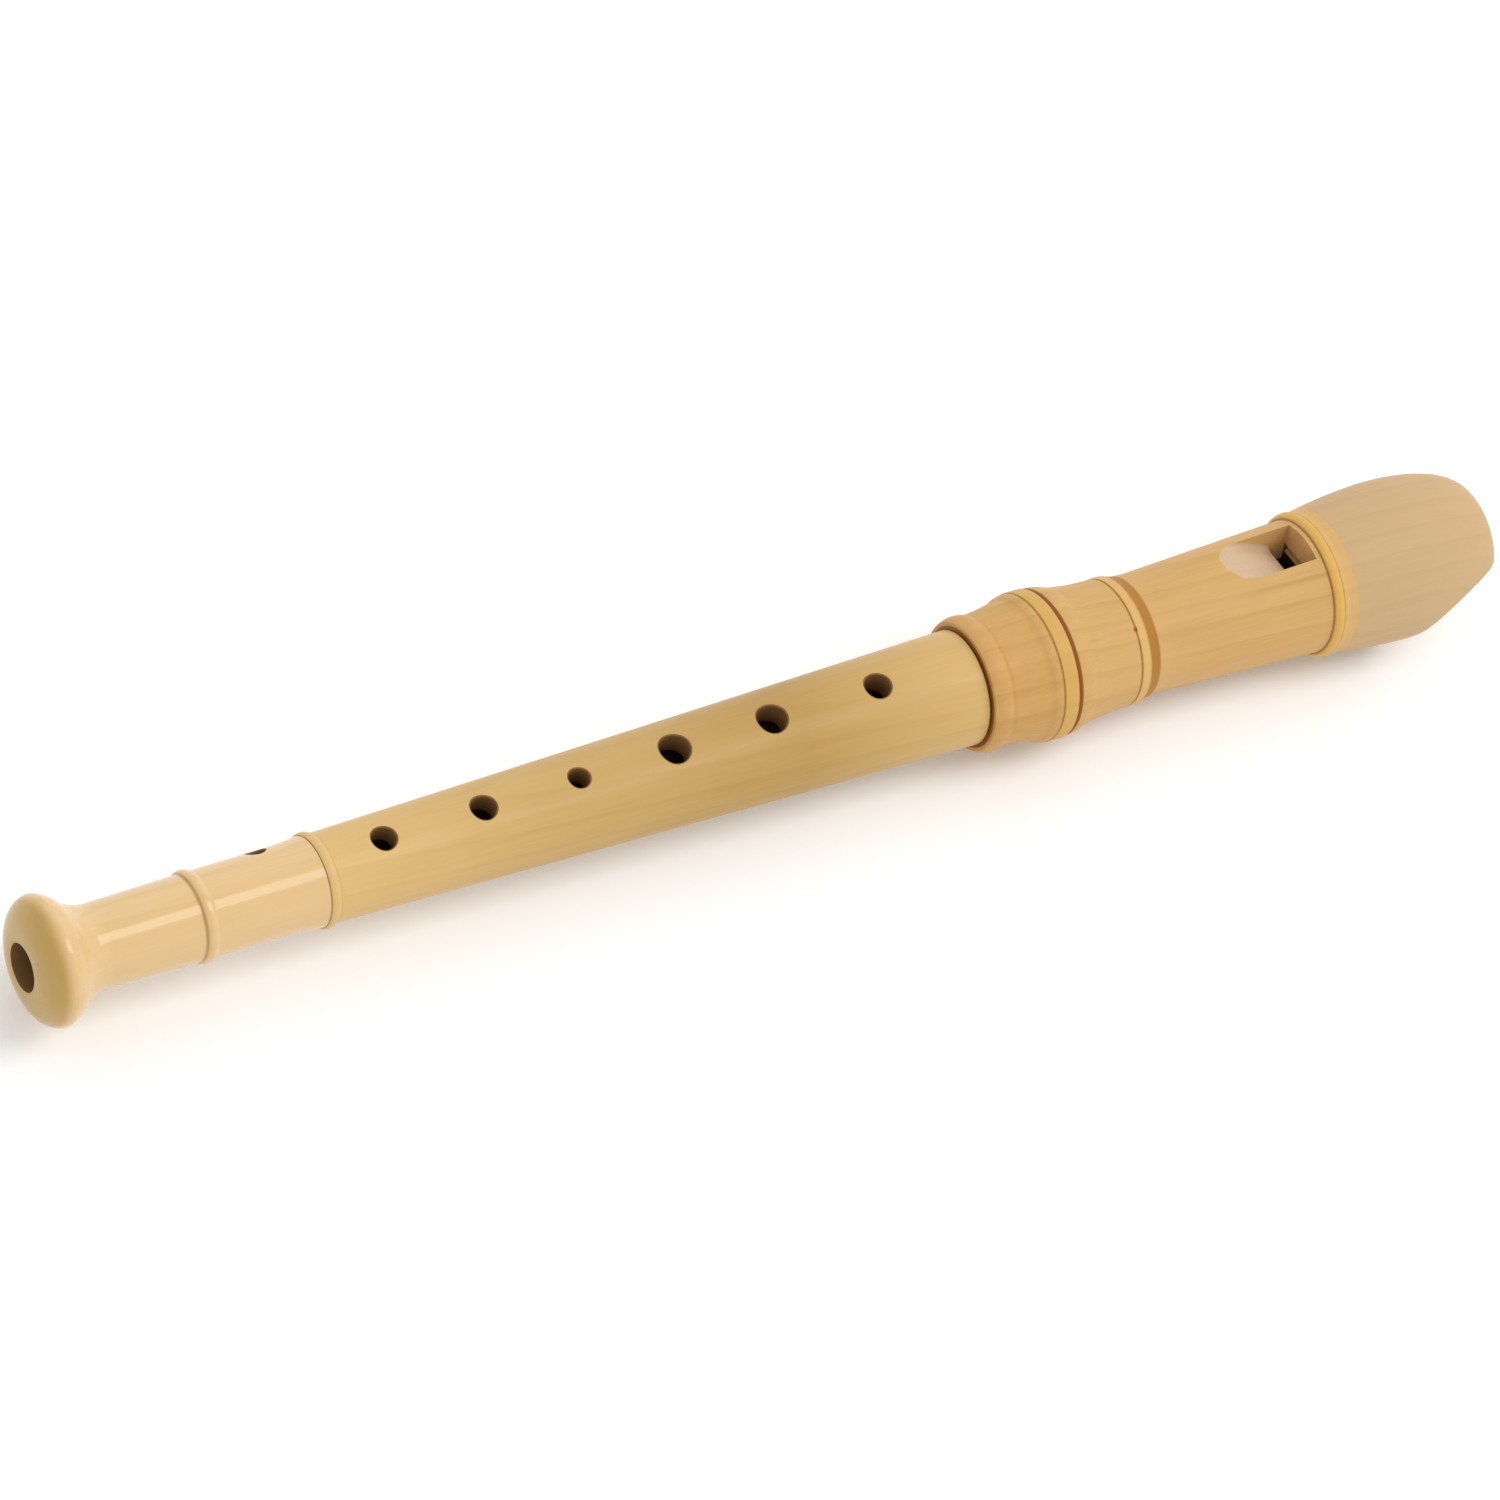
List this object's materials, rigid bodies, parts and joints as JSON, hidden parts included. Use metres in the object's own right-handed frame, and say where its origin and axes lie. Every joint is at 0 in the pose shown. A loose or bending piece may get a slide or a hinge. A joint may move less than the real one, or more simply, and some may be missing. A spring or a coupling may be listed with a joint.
{
  "type": "soprano recorder",
  "caption": "Turned wooden recorder in three joints with a block, a beak mouthpiece, a window, finger holes, a thumb hole and a flared bell.",
  "frame": {"origin": "centre of the underside of the bounding box, the instrument lying with its bore level", "axes": "+X along the bore towards the beak, +Z out of the finger holes, +Y towards the player's right hand side"},
  "size_m": [0.325, 0.0326, 0.0326],
  "materials": {
    "head_maple": "thin satin varnish over maple, paler and matt on the beak",
    "middle_maple": "thin satin varnish over maple",
    "foot_maple": "glossier varnish over maple",
    "cedar": "bare cedar",
    "cork": "bare cork"
  },
  "bodies": {
    "middle": {"middle_joint": "middle_maple", "upper_tenon_cork": "cork", "lower_tenon_cork": "cork"},
    "head": {"head_joint": "head_maple"},
    "foot": {"foot_joint": "foot_maple"},
    "block": {"block": "cedar"}
  },
  "joints": [
    {"name": "head_slide", "type": "slide", "parent": "middle", "child": "head", "axis": [1, 0, 0], "range_m": [0, 0.03]},
    {"name": "foot_turn", "type": "hinge", "parent": "middle", "child": "foot", "pos_m": [-0.1018, 0, 0.0163], "axis": [1, 0, 0], "continuous": true},
    {"name": "block_slide", "type": "slide", "parent": "head", "child": "block", "axis": [1, 0, 0], "range_m": [0, 0.046]}
  ]
}
